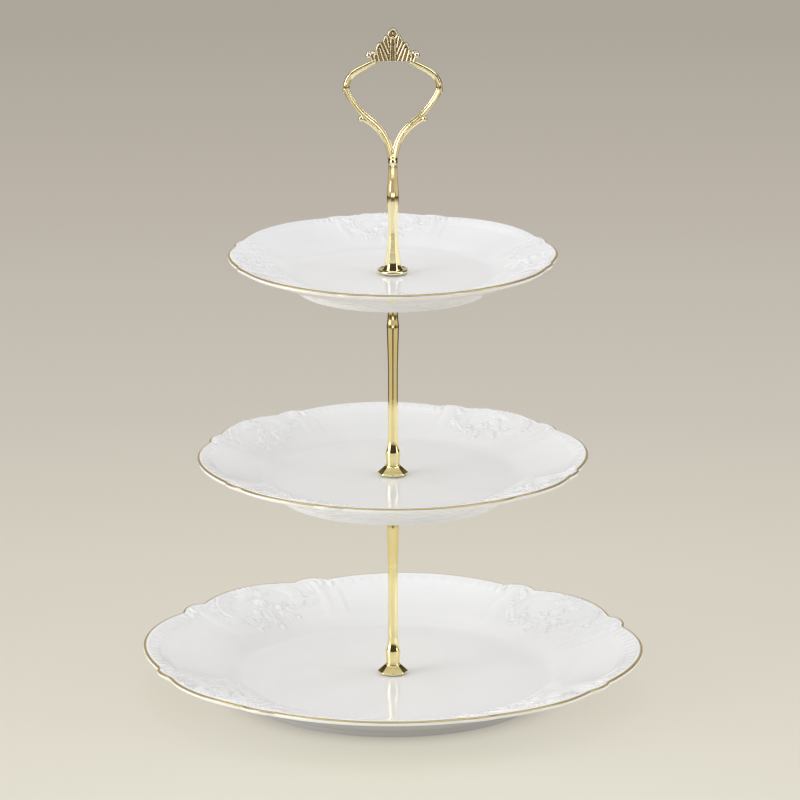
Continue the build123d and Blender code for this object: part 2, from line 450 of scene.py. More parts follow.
# ---------------------------------------------------------------- plates
Plate = namedtuple(
    "Plate",
    "tier rim_r rim_h shoulder_r shoulder_h well_r foot_r foot_depth centre_t notch turn relief",
)
PLATES = (
    Plate("bottom", 135.0, 16.5, 95.0, 5.2, 84.0, 81.0, 10.0, 5.0, 4.0, 39.0, 1.35),
    Plate("middle", 105.0, 12.0, 76.0, 3.8, 67.0, 62.0, 10.0, 4.7, 2.6, 52.5, 1.10),
    Plate("top", 88.0, 11.5, 62.0, 3.6, 54.0, 52.0, 7.8, 4.3, 1.5, 3.0, 0.95),
)
PLATE_HOLE_R = 4.0
WELL_BEND = 3.6  # reach of the curves from well to shoulder and from shoulder to rim
SHOULDER_BEND = 3.2
BODY_T = 4.3
FOOT_W = 3.0
LIP_R = 1.3
EDGE_INSET = 0.08  # keeps the gold line inside the plate's outline
CENTRE_LOBE = 14.0
SMALL_LOBE = 22.5
CARTOUCHE_HALF = 24.0  # half angle that gets the finest mesh
FINE_STEP = 0.25
PANEL_STEP = 0.7
COARSE = 4  # fine columns to one coarse column
FINE_ROWS = 74
DESIGN_WIDTH = 40.0  # the relief is drawn on a rim of this width
DESIGN_DEGREE = 2.09  # and this much of its arc to a degree
QUARTER = 90 * DESIGN_DEGREE
CUSHION = (26.0, 15.0, 13.0)  # swelling under a cartouche: half width, depth and half height
CUSHION_LIFT = 0.5  # heights against the relief's highest
PANEL_SINK = 0.55
MOULDING_LIFT = 0.3
MOULDING_IN = 2.9  # how far from the edge the rim's moulding is
HOLLOW_GAIN = 3.2  # how soon a hollow in the relief counts as full
HOLLOW_SHADE = 0.25  # share of grey beside the raised lines, where glaze pools; it also paints shade in the hollows
UNDERSIDE_SHADE = {"bottom": 0.9, "middle": 0.1, "top": 0.1}  # painted shade on the underside, heavy on the bottom plate and faint on the others


def edge_radius(plate, degrees):
    """Scalloped edge: a lobe at each cartouche, a small lobe either side and one long panel lobe."""
    inner = plate.rim_r - plate.notch
    lobes = (
        (0, CENTRE_LOBE, 0, plate.rim_r),
        (CENTRE_LOBE, SMALL_LOBE, (CENTRE_LOBE + SMALL_LOBE) / 2, plate.rim_r - plate.notch / 3),
        (SMALL_LOBE, 45.001, 45, plate.rim_r),
    )
    total = np.zeros_like(degrees)
    shifts = (-0.45, 0.0, 0.45)  # the mean over a short arc rounds the cusps
    for shift in shifts:
        folded = np.abs((degrees + shift + 45) % 90 - 45)
        radius = np.zeros_like(degrees)
        for low, high, middle, top in lobes:
            half = max(high - middle, middle - low)
            centre = (top**2 - inner**2) / (2 * (top - inner * deg_cos(half)))
            turn = folded - middle
            along = centre * deg_cos(turn)
            arc = along + np.sqrt(np.maximum((top - centre) ** 2 - (centre * deg_sin(turn)) ** 2, 0))
            radius = np.where((folded >= low) & (folded <= high), arc, radius)
        total += radius
    return total / len(shifts) - EDGE_INSET


def bend(x, reach):
    """Zero before 0 and x after it, with a smooth change within reach."""
    return np.where(x < -reach, 0.0, np.where(x > reach, x, (x + reach) ** 2 / (4 * reach)))


def top_height(plate, r):
    """Upper face above the well: flat well, curved shoulder and rising rim."""
    shoulder = plate.shoulder_h / (plate.shoulder_r - plate.well_r)
    rim = rim_slope(plate)
    lift = shoulder * bend(r - plate.well_r, WELL_BEND)
    return lift + (rim - shoulder) * bend(r - plate.shoulder_r, SHOULDER_BEND)


def rim_slope(plate):
    return (plate.rim_h - plate.shoulder_h) / (plate.rim_r - plate.shoulder_r)


def about(centre, radius, turn):
    """Points (along the edge, inward) round a centre; 0 degrees is along the edge, 90 is inward."""
    return np.column_stack((centre[0] + radius * deg_cos(turn), centre[1] + radius * deg_sin(turn)))


def circle_line(centre, radius, start, end, step=12.0):
    count = max(3, int(abs(end - start) / step) + 1)
    return about(centre, radius, np.linspace(start, end, count))


def spiral_line(centre, start_r, end_r, start, sweep):
    count = int(abs(sweep) / 18) + 2
    turn = np.linspace(start, start + sweep, count)
    return about(centre, np.linspace(start_r, end_r, count), turn)


def leaf(start, degrees, length, width, height, curl=0.0):
    """Pointed leaf from its stalk; curl bends its tip, in degrees."""
    spots = [np.array(start, float)]
    count = 7
    for k in range(count - 1):
        a = degrees + curl * k / (count - 2)
        spots.append(spots[-1] + np.array([deg_cos(a), deg_sin(a)]) * length / (count - 1))
    t = np.linspace(0, 1, count)
    swell = np.sin(np.pi * np.clip(t * 0.92 + 0.06, 0, 1)) ** 0.8
    return np.array(spots), width * (0.25 + 0.75 * swell), height * (0.35 + 0.65 * swell)


def fan(centre, radius, turns, lean, length, width, height, curl=0.0):
    """Leaves that stand on a circle, each leaning by an angle from its spoke."""
    feet = about(centre, radius, turns)
    lengths = np.broadcast_to(length, len(turns))
    return [
        leaf(foot, turn + lean, size, width, height, curl)
        for foot, turn, size in zip(feet, turns, lengths)
    ]


def ridge(line, width, height, fade=0.25):
    """Raised line that narrows and sinks towards both ends over a share of its length."""
    t = np.linspace(0, 1, len(line))
    ease = np.clip(np.minimum(t, 1 - t) / fade, 0, 1) ** 0.6
    return line, width * (0.45 + 0.55 * ease), height * (0.3 + 0.7 * ease)


def spray(line, leaves, length, width, height):
    """Stalk with pairs of leaves that shorten towards its tip, and a berry at the end."""
    line = smooth_line(line, 30)
    strokes = [ridge(line, 0.55, height * 0.7, 0.1)]
    for k in range(leaves):
        t = (k + 0.6) / leaves
        i = min(int(t * 29), 28)
        ahead = line[i + 1] - line[i]
        heading = math.degrees(math.atan2(ahead[1], ahead[0]))
        size = 1 - 0.45 * t
        for side in (-1, 1):
            strokes.append(
                leaf(line[i], heading + side * 48, length * size, width * size, height, -side * 34)
            )
    strokes.append((line[-1:], np.array([1.0]), np.array([height])))
    return strokes


def beads(line, size, height):
    return [(np.array([spot]), np.array([size]), np.array([height])) for spot in line]


def cartouche_strokes():
    """Own rococo design: a large scroll and a small one, a shell, sprays, a trellis and beads."""
    big = (14.5, 18.0)
    small = (-15.5, 15.5)
    shell = 6.6 + 2.6 * np.sin(np.pi * np.arange(9) / 8)
    plume = 8.5 - 0.6 * np.abs(np.arange(8) - 3.5)
    strokes = fan(big, 8.8, np.arange(-100, 66, 11.0), 20, 4.6, 0.55, 0.66, 16)
    strokes += fan(small, 6.6, np.arange(104, 272, 13.0), -18, 3.6, 0.5, 0.6)
    strokes += fan((0.0, 14.5), 3.4, np.linspace(-160, -20, 9), 0, shell, 1.15, 1.0)
    strokes += fan((-30.5, 15.0), 3.0, np.linspace(40, 140, 8), 0, plume, 0.95, 0.8)
    strokes.append(ridge(spiral_line((17.6, 29.8), 5.0, 0.9, -50, 500), 0.85, 0.95, 0.1))
    strokes.append(ridge(spiral_line((-15.0, 25.4), 4.4, 0.8, 110, -470), 0.75, 0.9, 0.1))
    for centre, radii, start, end, width in (
        (big, (14.2, 12.0, 10.0, 8.2), -118, 80, 1.05),
        (small, (11.6, 9.6, 7.8, 6.2), 92, 282, 1.0),
    ):
        for k, radius in enumerate(radii):
            arc = circle_line(centre, radius, start + 6 * k, end - 6 * k)
            strokes.append(ridge(arc, width - 0.1 * k, 1.0 - 0.1 * k))
    for spot, size, petals in (((0.0, 19.0), 3.9, 6), ((8.4, 25.6), 2.7, 5), ((-7.8, 26.0), 2.7, 5)):
        for k in range(petals):
            strokes.append(leaf(spot, 360 / petals * k + 10, size, 0.32 * size, 1.05))
        strokes += beads([spot], 0.32 * size, 1.2)
    strokes += spray([(0.6, 24.0), (3.4, 30.0), (4.8, 36.0), (3.0, 42.5)], 5, 6.0, 1.25, 1.0)
    strokes += spray([(-4.0, 29.0), (-8.5, 34.0), (-14.5, 37.0)], 4, 5.0, 1.1, 0.9)
    strokes += spray([(10.5, 30.5), (15.0, 36.5), (21.5, 37.5)], 4, 5.0, 1.1, 0.9)
    strokes += spray([(28.0, 13.5), (31.5, 8.5), (36.0, 5.5)], 4, 4.6, 1.05, 0.9)
    strokes += spray([(25.5, 26.0), (30.0, 23.5), (33.5, 18.5)], 4, 4.6, 1.05, 0.85)
    strokes += spray([(0.5, 9.5), (5.0, 6.0), (12.0, 4.4)], 4, 3.4, 0.8, 0.7)
    strokes += beads(circle_line(big, 16.8, -60, 44, 8.0), 0.85, 0.7)
    strokes += beads(circle_line((0.0, 19.0), 6.2, 160, 20, 17.0), 0.75, 0.75)
    for left in -38.0 + 2.6 * np.arange(5):
        for low, high in ((4.4, 13.0), (13.0, 4.4)):
            strokes.append(ridge(np.array([(left, low), (left + 6.5, high)]), 0.5, 0.55))
    strokes.append(ridge(smooth_line([(-37.0, 14.4), (-31.5, 15.6), (-26.5, 13.0)], 14), 0.75, 0.85))
    return strokes


BOLDNESS = 1.5  # widens every drawn line
RIB_U = 18.6 * DESIGN_DEGREE


def panel_strokes():
    """Straight rib at each end of the smooth panel and a garland of short scrolls along its edge."""
    middle = 45 * DESIGN_DEGREE
    half = middle - RIB_U
    strokes = []
    for side in (1, -1):
        rib = [(-half, 6.5), (-half + 0.6, 16.0), (-half + 0.4, 26.0), (-half - 0.6, 38.0)]
        line = smooth_line([(middle + side * u, v) for u, v in rib], 16)
        t = np.linspace(0, 1, len(line))
        strokes.append((line, 2.2 + 1.9 * t, 0.95 - 0.75 * t))
        twin = smooth_line([(middle + side * (u - 3.6), v - 1.0) for u, v in rib[:3]], 12)
        strokes.append(ridge(twin, 1.3, 0.5, 0.4))
        for k in range(11):
            u = middle + side * (-half + 1.5 + 5.1 * k)
            fade = 1 - 0.055 * k
            strokes.append(leaf((u, 3.4), 90 - side * 44, 6.4, 1.25, 1.1 * fade, side * 56))
            strokes.append(leaf((u + side * 2.6, 4.0), 90 + side * 12, 3.4, 0.95, 0.85 * fade))
            strokes += beads([(u + side * 0.4, 8.6)], 0.6, 0.5 * fade)
    return strokes


def panel_hollow(along, inward):
    """1 in the middle of the smooth panel, easing to 0 at its ribs and its rounded inner end."""
    across = np.abs(along - 45 * DESIGN_DEGREE) / (45 * DESIGN_DEGREE - RIB_U)
    down = np.clip(inward - 14, 0, None) / 31
    return np.clip(1 - across**5 - down**4, 0, 1) * np.clip((inward - 8) / 5, 0, 1)


def relief_map(along, inward):
    """Height of the moulded decoration, about 1 at its highest."""
    height = np.zeros_like(along)
    reach = (along.min() - 4, along.max() + 4)
    for line, width, top in cartouche_strokes() + panel_strokes():
        for shift in (-QUARTER, 0.0, QUARTER):
            spots = line + np.array([shift, 0.0])
            if spots[:, 0].max() < reach[0] or spots[:, 0].min() > reach[1]:
                continue
            for i in range(max(len(spots) - 1, 1)):
                j = min(i + 1, len(spots) - 1)
                step = spots[j] - spots[i]
                across = along - spots[i][0]
                down = inward - spots[i][1]
                t = np.clip((across * step[0] + down * step[1]) / max(step @ step, 1e-9), 0, 1)
                gap = (across - t * step[0]) ** 2 + (down - t * step[1]) ** 2
                wide = BOLDNESS * (width[i] + (width[j] - width[i]) * t)
                tall = top[i] + (top[j] - top[i]) * t
                bump = np.clip(1 - gap / wide**2, 0, None)
                np.maximum(height, tall * bump * bump, out=height)
    return height


def soften(grid):
    """Rounds the relief slightly, as glaze does; columns wrap round the quarter."""
    across = (np.roll(grid, 1, 1) + 2 * grid + np.roll(grid, -1, 1)) / 4
    padded = np.vstack((across[:1], across, across[-1:]))
    return (padded[:-2] + 2 * padded[1:-1] + padded[2:]) / 4


def quarter_degrees():
    fine = np.arange(-CARTOUCHE_HALF, CARTOUCHE_HALF, FINE_STEP)
    panel = np.arange(CARTOUCHE_HALF, 90 - CARTOUCHE_HALF - 1e-6, PANEL_STEP)
    return np.concatenate((fine, panel))


def make_plate(plate):
    """One plate and its gold line, in relief on the upper face of the rim."""
    tier = plate.tier
    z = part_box(f"{tier}_upper_gasket")[0].z / MM
    quarter = quarter_degrees()
    degrees = np.concatenate([quarter + 90 * k for k in range(4)])
    edge = edge_radius(plate, degrees)
    slope = math.atan(rim_slope(plate))
    turned = degrees + plate.turn
    heading = np.column_stack((deg_cos(turned), deg_sin(turned)))
    skin = Skin()

    def ring(radius, height, step=1):
        radius = np.broadcast_to(radius, len(degrees))[::step]
        height = np.broadcast_to(height, len(degrees))[::step]
        spots = heading[::step] * radius[:, None]
        return skin.ring(np.column_stack((spots, z + height)))

    # The lip is a round bead that the upper face runs into.
    lip_centre_r = edge - LIP_R
    lip_start_r = lip_centre_r - LIP_R * math.sin(slope)
    lip_centre_h = top_height(plate, lip_start_r) - LIP_R * math.cos(slope)

    # Upper face of the rim, finest near the edge.
    start_r = plate.well_r - 2.0
    from_edge = np.linspace(1, 0, FINE_ROWS)
    share = 0.72 * from_edge + 0.28 * from_edge**2
    radius = lip_start_r - share[:, None] * (lip_start_r - start_r)
    rim_width = plate.rim_r - plate.shoulder_r
    inward = (edge - radius) * DESIGN_WIDTH / rim_width
    count = len(quarter)
    along = np.broadcast_to(quarter * DESIGN_DEGREE, (FINE_ROWS, count))
    drawn = np.tile(soften(relief_map(along, inward[:, :count])), 4)
    half_width, middle, half_height = CUSHION
    depth = (inward[:, :count] - middle) / half_height
    cushion = np.exp(-((along / half_width) ** 2) - depth**2)
    moulding = np.clip(1 - (inward - MOULDING_IN) ** 2, 0, None)
    ease = np.clip((inward - 1.9) / 1.5, 0, 1)
    swell = CUSHION_LIFT * cushion - PANEL_SINK * panel_hollow(along, inward[:, :count])
    lift = plate.relief * (drawn * ease + np.tile(swell, 4) * ease + MOULDING_LIFT * moulding)
    height = top_height(plate, radius) + lift

    bore_rows = (
        (PLATE_HOLE_R, -plate.centre_t + 0.5), (PLATE_HOLE_R, -0.5),
        (PLATE_HOLE_R + 0.15, -0.15), (PLATE_HOLE_R + 0.5, 0.0),
    )
    bore = [ring(r, h, COARSE) for r, h in bore_rows]
    well = [ring(r, float(top_height(plate, r)), COARSE) for r in np.linspace(8, start_r - 2, 13)]
    rim = [ring(radius[i], height[i]) for i in range(FINE_ROWS)]
    lip = [
        ring(lip_centre_r + LIP_R * deg_cos(a), lip_centre_h + LIP_R * deg_sin(a))
        for a in np.linspace(90, -90, 9)[1:] + math.degrees(slope)
    ]

    # Underside: body, foot ring and recess.
    inside_foot = plate.foot_r - FOOT_W
    under_r = lip_centre_r + LIP_R * math.sin(slope)
    under_h = lip_centre_h - LIP_R * math.cos(slope)
    corners = [
        (under_r.mean(), under_h.mean()),
        (plate.shoulder_r + 1.5, plate.shoulder_h - BODY_T),
        (plate.foot_r + 1.5, -plate.foot_depth + 3.2),
        (plate.foot_r, -plate.foot_depth),
        (inside_foot, -plate.foot_depth),
        (inside_foot - 1.2, -plate.centre_t),
        (PLATE_HOLE_R + 0.5, -plate.centre_t),
    ]
    line = rounded(corners, [0, 14, 3, 0.8, 0.8, 2.5, 0], 9.0)
    body_r, body_h = line[1]
    under = [
        ring(under_r + (body_r - under_r) * t, under_h + (body_h - under_h) * t, COARSE)
        for t in np.linspace(0, 1, 9)[1:-1]
    ]
    under += [ring(r, h, COARSE) for r, h in line[1:-1]]
    recess_r = line[-2][0]
    under += [ring(recess_r * t + 4.5 * (1 - t), -plate.centre_t, COARSE) for t in (0.75, 0.5, 0.25)]
    under.append(ring(PLATE_HOLE_R + 0.5, -plate.centre_t, COARSE))

    rings = bore + well + rim + lip + under
    heights = [skin.points[r[0]][2] - z for r in rings]
    low = -plate.foot_depth + 0.05
    paints = [int(a < low and b < low) for a, b in zip(heights, heights[1:] + heights[:1])]
    skin.chain(rings, paints, closed=True)
    body = f"{tier}_plate"
    made = skin.build(
        f"{tier}_plate_body", [PORCELAIN, BISCUIT], None, body, [f"{tier}_plate"], "porcelain"
    )
    paint_pool_and_under_shade(made, drawn, rim[0][0], under, UNDERSIDE_SHADE[tier])
    gold_line(plate, z, heading, lip_centre_r, lip_centre_h, slope)


def paint_pool_and_under_shade(made, drawn, first, under, shade_tint):
    """Greys the glaze where it pools beside the raised lines, which also paints shade there, and paints
    shade on the underside.
    """
    near = drawn
    for _ in range(5):
        near = soften(near)
    pool_shade_share = np.clip((near - drawn) * HOLLOW_GAIN, 0, 1) * HOLLOW_SHADE
    values = np.zeros(len(made.data.vertices))
    values[first : first + pool_shade_share.size] = pool_shade_share.ravel()
    # Painted shade on the underside, growing from the lip inward.
    for i, indices in enumerate(under):
        values[indices] = shade_tint * min(1.0, i / 5)
    paint_points(made, "pool_and_shade", "FLOAT", "value", values)


LINE_PROUD = 0.05
LINE_SUNK = 0.12
LINE_EASE = 0.3  # how far the band's two edges stand out, against its middle
LINE_FROM = 98.0  # degrees round the lip's bead, from level
LINE_TO = 27.0


def gold_line(plate, z, heading, centre_r, centre_h, slope):
    """Thin burnished band over the outer shoulder of the lip."""
    skin = Skin()
    wave = np.arange(len(heading)) * 2 * np.pi / len(heading)
    wander = 2.5 * np.sin(9 * wave) + 1.5 * np.sin(23 * wave)  # degrees, as a brush wanders
    rings = []
    turns = np.linspace(LINE_FROM, LINE_TO, 7)
    for reach, order in ((LINE_PROUD, turns), (-LINE_SUNK, turns[::-1])):
        for a in order:
            bead = LIP_R + reach * (LINE_EASE if a in (LINE_FROM, LINE_TO) else 1.0)
            turn = a + wander * (a - LINE_FROM) / (LINE_TO - LINE_FROM)
            r = centre_r + bead * deg_cos(turn)
            h = centre_h + bead * deg_sin(turn)
            rings.append(skin.ring(np.column_stack((heading * r[:, None], z + h))))
    skin.chain(rings, closed=True)
    skin.build(f"{plate.tier}_gold_line", [GOLD_LINE], None, f"{plate.tier}_plate", [], "gold_plate")


for plate in PLATES:
    make_plate(plate)


# ---------------------------------------------------------------- turned parts
CORNER_EASE = 1.6  # degrees either side of a corner between two flats
SECTOR = np.array([0.0, CORNER_EASE, 8.0, 15.0, 22.5, 30.0, 37.0, 45.0 - CORNER_EASE])
FACET_DEGREES = np.concatenate([SECTOR + 45 * k for k in range(8)])


def turned_ring(skin, radius, height, facet=0.0, first=0.0):
    """Ring about the pole's axis; facet 1 gives eight flat sides with slightly eased corners."""
    if radius < 1e-6:
        return skin.ring([(0.0, 0.0, height)])
    off = (FACET_DEGREES % 45) - 22.5
    flat = deg_cos(22.5) / np.maximum(deg_cos(off), deg_cos(22.5 - CORNER_EASE))
    r = radius * (1 + facet * (flat - 1))
    return skin.circle(FACET_DEGREES + first, r, height)


def turn_part(name, profile, z, material, sharp, body, node_name, slot, first=0.0):
    """Solid turned from (radius, height, facet) rows that start and end on the axis."""
    skin = Skin()
    rings = [turned_ring(skin, row[0], z + row[1], row[2], first) for row in profile]
    skin.chain(rings)
    return skin.build(name, [material], sharp, body, [node_name], slot)


THREAD_HOLE_R = 2.05
TAPPED_DEPTH = 9.5
STUD_ROOT = 10.0
FLANGE_R = 8.25
SHAFT_R = 2.65
TAPPED_HOLE = [
    # (radius, height, facet) rows from the hole's end out to the underside of a foot
    (0, TAPPED_DEPTH, 0), (THREAD_HOLE_R, TAPPED_DEPTH, 0),
    (THREAD_HOLE_R, 0.4, 0), (THREAD_HOLE_R + 0.4, 0.0, 0),
]


def make_rod(rod):
    """Eight-sided flange and cone, a socket with an ogive shoulder, a slim shaft and a flared head."""
    low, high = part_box(rod)
    z = low.z / MM
    top = (high.z - low.z) / MM
    ogive = tangent_arc((SHAFT_R, 20.5), (0.02, -1), (4.0, 12.2), 12)[::-1]
    flare = tangent_arc((5.2, top - 1.0), (-0.35, -1), (3.35, 82.0), 12)[::-1]
    profile = TAPPED_HOLE + [
        (FLANGE_R - 0.5, 0.0, 1), (FLANGE_R - 0.12, 0.12, 1), (FLANGE_R, 0.4, 1), (FLANGE_R, 0.72, 1),
        (FLANGE_R - 0.1, 0.95, 1), (FLANGE_R - 0.35, 1.12, 1), (6.1, 2.72, 1), (4.35, 4.22, 1),
        (4.12, 4.5, 0.8), (4.02, 4.72, 0.5), (3.82, 4.95, 0.2), (3.55, 5.06, 0), (3.5, 5.3, 0),
        (3.75, 7.6, 0), (4.0, 10.2, 0), (4.08, 11.3, 0), (4.05, 11.8, 0),
    ]
    profile += [(r, h, 0) for r, h in ogive]
    profile += [(SHAFT_R, h, 0) for h in (26, 36, 46, 56, 58.5)]
    profile += [(SHAFT_R + 0.7 * t, 59 + 23 * t, 0) for t in (0.03, 0.3, 0.6, 0.9)]
    profile += [(r, h, 0) for r, h in flare]
    profile += [
        (5.25, top - 0.75, 0), (5.25, top - 0.3, 0), (5.1, top - 0.06, 0), (4.9, top, 0),
        (2.4, top, 0), (2.06, top - 0.3, 0), (2.06, top - STUD_ROOT, 0), (0, top - STUD_ROOT, 0),
    ]
    turn_part(f"{rod}_turned", profile, z, GOLD_TURNED, 38, rod, rod, "gold_plate")


for rod in ("lower_rod", "upper_rod"):
    make_rod(rod)

PITCH = 0.7
CREST_R = 1.98
ROOT_R = 1.58
CHAMFER_R = 1.45
THREAD_TURN = np.arange(32) * 360 / 32


def thread_rings(skin, low, high, chamfer_low, chamfer_high):
    """Helical thread with a rounded root, fading into plain chamfers at its free ends."""
    rings = []
    for h in np.arange(low, high + 1e-6, PITCH / 7):
        phase = ((h - low) / PITCH - THREAD_TURN / 360) % 1
        tooth = 1 - np.abs(2 * phase - 1)
        r = ROOT_R + (CREST_R - ROOT_R) * np.clip(tooth * 1.25 - 0.06, 0, 1)
        if chamfer_low:
            r = np.minimum(r, CHAMFER_R + (h - low))
        if chamfer_high:
            r = np.minimum(r, CHAMFER_R + (high - h))
        rings.append(skin.circle(THREAD_TURN, r, h))
    return rings


def make_stud(rod):
    low, high = (corner.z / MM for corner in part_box(f"{rod}_stud"))
    skin = Skin()
    rings = [skin.ring([(0, 0, low)])]
    rings += thread_rings(skin, low, high, True, True)
    rings.append(skin.ring([(0, 0, high)]))
    skin.chain(rings)
    skin.build(f"{rod}_stud_thread", [STEEL], 50, rod, [f"{rod}_stud"], "steel")


for rod in ("lower_rod", "upper_rod"):
    make_stud(rod)

HEAD_R = 4.0
HEAD_T = 2.2
HEAD_ROUND = 1.25
RECESS_DEPTH = 1.3


def make_base_screw():
    """Pan-headed machine screw with a cross recess cut in its head."""
    low, high = (corner.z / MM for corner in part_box("base_screw"))
    head_top = low + HEAD_T
    skin = Skin()
    round_r = HEAD_R - HEAD_ROUND
    outline = [(0.9, low), (1.8, low)]
    outline += [
        (round_r + HEAD_ROUND * deg_sin(a), low + 1.3 - 1.3 * deg_cos(a)) for a in range(0, 91, 15)
    ]
    outline += [(HEAD_R, head_top - 0.2), (HEAD_R - 0.2, head_top), (2.15, head_top)]
    rings = [skin.ring([(0, 0, low)])]
    rings += [skin.circle(THREAD_TURN, r, h) for r, h in outline]
    rings += thread_rings(skin, head_top + 0.05, high, False, True)
    rings.append(skin.ring([(0, 0, high)]))
    skin.chain(rings)
    screw = skin.build("base_screw_thread", [STEEL], 40, "base_screw", ["base_screw"], "steel")

    # Cutter: a cross whose arms taper towards the bottom of the recess.
    cutter = Skin()
    rings = []
    for h, scale in ((low - 0.5, 1.12), (low + RECESS_DEPTH, 0.72)):
        arm, half = 2.2 * scale, 0.5 * scale
        quarter = np.array([(arm, -half), (arm, half), (half, half)])
        spots = []
        for k in range(4):
            c, s = deg_cos(90 * k), deg_sin(90 * k)
            spots += [(x * c - y * s, x * s + y * c, h) for x, y in quarter]
        rings.append(cutter.ring(spots))
    centre_low = cutter.ring([(0, 0, low - 0.5)])
    centre_high = cutter.ring([(0, 0, low + RECESS_DEPTH)])
    cutter.chain([centre_low, *rings, centre_high])
    tool = cutter.build("recess_cutter", [STEEL])
    cut = screw.modifiers.new("recess", "BOOLEAN")
    cut.object = tool
    cut.operation = "DIFFERENCE"
    cut.solver = "EXACT"
    apply_modifiers(screw)
    screw.data.set_sharp_from_angle(angle=math.radians(40))
    bpy.data.objects.remove(tool)


def apply_modifiers(piece):
    """Replaces a piece's mesh with the evaluated one and drops its modifiers."""
    graph = bpy.context.evaluated_depsgraph_get()
    graph.update()
    mesh = bpy.data.meshes.new_from_object(piece.evaluated_get(graph))
    piece.modifiers.clear()
    piece.data = mesh


make_base_screw()


DISC_HOLE_R = 2.2
DISC_GAP = 0.01  # hairline that keeps a disc's faces off its neighbours


def make_disc(node_name, edge, material, body, slot):
    """Flat ring with eased edges, from its CAD solid's box."""
    low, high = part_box(node_name)
    outer = (high.x - low.x) / 2 / MM - DISC_GAP
    base = low.z / MM + DISC_GAP
    top = high.z / MM - DISC_GAP
    skin = Skin()
    corners = [(outer, base), (outer, top), (DISC_HOLE_R, top), (DISC_HOLE_R, base)]
    rings = []
    for i, (r, h) in enumerate(corners):
        inward = -1 if r == outer else 1
        up = 1 if h == base else -1
        for a in (0, 22.5, 45, 67.5, 90):
            lean = a if i in (1, 3) else 90 - a
            rr = r + inward * edge * (1 - deg_cos(lean))
            hh = h + up * edge * (1 - deg_sin(lean))
            rings.append(turned_ring(skin, float(rr), float(hh)))
    skin.chain(rings, closed=True)
    skin.build(f"{node_name}_ring", [material], 60, body, [node_name], slot)


DISC_BODIES = {
    "bottom_lower_gasket": "base_washer",
    "bottom_upper_gasket": "lower_rod",
    "middle_lower_gasket": "lower_rod",
    "middle_upper_gasket": "middle_gasket",
    "top_lower_gasket": "upper_rod",
    "top_upper_gasket": "top_gasket",
    "base_washer": "base_washer",
    "middle_washer": "lower_rod",
    "top_washer": "upper_rod",
}
for disc, body in DISC_BODIES.items():
    if disc.endswith("gasket"):
        make_disc(disc, 0.15, GASKET, body, "gasket")
    else:
        make_disc(disc, 0.22, STEEL, body, "steel")


# ---------------------------------------------------------------- handle
handle_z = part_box("crown_handle")[0].z / MM


def make_stem():
    """Dished foot, skirt, waist and belly with eight soft facets, one of them to the front."""
    waist = smooth_line(
        [(4.6, 4.6), (3.7, 11), (2.95, 18), (2.55, 25), (2.85, 33), (3.35, 42), (2.75, 50), (2.5, 55)],
        30,
    )
    profile = TAPPED_HOLE + [
        (7.4, 0.0, 0), (7.9, 0.12, 0), (8.18, 0.5, 0), (8.25, 0.95, 0), (8.15, 1.4, 0),
        (7.85, 1.75, 0), (7.45, 1.85, 0), (7.05, 1.7, 0), (6.6, 1.45, 0.1), (6.1, 1.45, 0.3),
        (5.75, 1.7, 0.5), (5.3, 2.4, 0.6), (4.95, 3.4, 0.7),
    ]
    profile += [(r, h, 0.75) for r, h in waist]
    profile += [(2.5, 58, 0.7), (2.5, 61, 0.5), (2.3, 62.5, 0.3), (1.6, 63.5, 0), (0, 63.8, 0)]
    turn_part(
        "handle_stem", profile, handle_z, GOLD_CAST, 60, "crown_handle", "crown_handle", "gold_plate", 22.5
    )


def in_plane(points, y=0.0):
    """(x, height) points of the handle's plane as 3-D points."""
    points = np.atleast_2d(np.array(points, float))
    return np.column_stack((points[:, 0], np.full(len(points), y), handle_z + points[:, 1]))


def beside(line, offset):
    """The same line moved sideways in its plane."""
    ahead = np.gradient(line, axis=0)
    ahead /= np.linalg.norm(ahead, axis=1)[:, None]
    return line + np.column_stack((ahead[:, 1], -ahead[:, 0])) * offset


def taper(count, *stops):
    """Radii along a line from (share of length, radius) stops."""
    return np.interp(np.linspace(0, 1, count), [s[0] for s in stops], [s[1] for s in stops])


def loop_side(skin, side):
    """Lower arm of two ridges, ball-ended outer strand, and the upper arm that laps over the knee."""
    neck = arc3((0.6, 59.0), (5.0, 75.9), (12.0, 83.3), 16)
    hip = tangent_arc(neck[-1], neck[-1] - neck[-2], (24.6, 99.9), 16)
    lower = np.vstack((neck, hip[1:]))
    upper = smooth_line(
        [(24.6, 99.9), (24.3, 102.6), (22.8, 106.2), (19.5, 109.4), (14.5, 112.2), (9.6, 114.6)], 26
    )
    strand = arc3((1.2, 60.0), (6.9, 76.4), (16.3, 83.8), 20)
    flip = np.array([side, 1.0])

    def add(line, radii, depth=1.0):
        skin.tube(in_plane(line * flip), radii, 14, depth)

    count = len(lower)
    add(beside(lower, 0.6), taper(count, (0, 0.9), (0.5, 1.0), (0.8, 1.1), (1, 1.2)), 1.1)
    add(beside(lower, -0.8), taper(count, (0, 0.72), (0.6, 0.75), (1, 0.7)), 0.95)
    count = len(upper)
    add(beside(upper, 0.2)[1:], taper(count - 1, (0, 1.5), (0.2, 1.6), (0.6, 1.4), (1, 1.15)), 0.95)
    add(beside(upper, -1.25), taper(count, (0, 0.5), (0.5, 0.5), (1, 0.45)), 0.9)
    count = len(strand)
    add(strand, taper(count, (0, 1.1), (0.5, 1.15), (0.85, 0.95), (1, 0.8)))
    add(beside(strand, 0.85), taper(count, (0, 0.45), (0.8, 0.4), (1, 0.3)), 1.4)
    tip = strand[-1] * flip
    skin.ball(in_plane(tip + np.array([0.5 * side, -0.1]))[0], 1.5)
    knee = [(24.6, 102.4), (25.3, 99.9), (26.2, 97.7)]
    add(smooth_line(knee, 8), taper(8, (0, 1.0), (0.5, 1.15), (1, 0.35)))


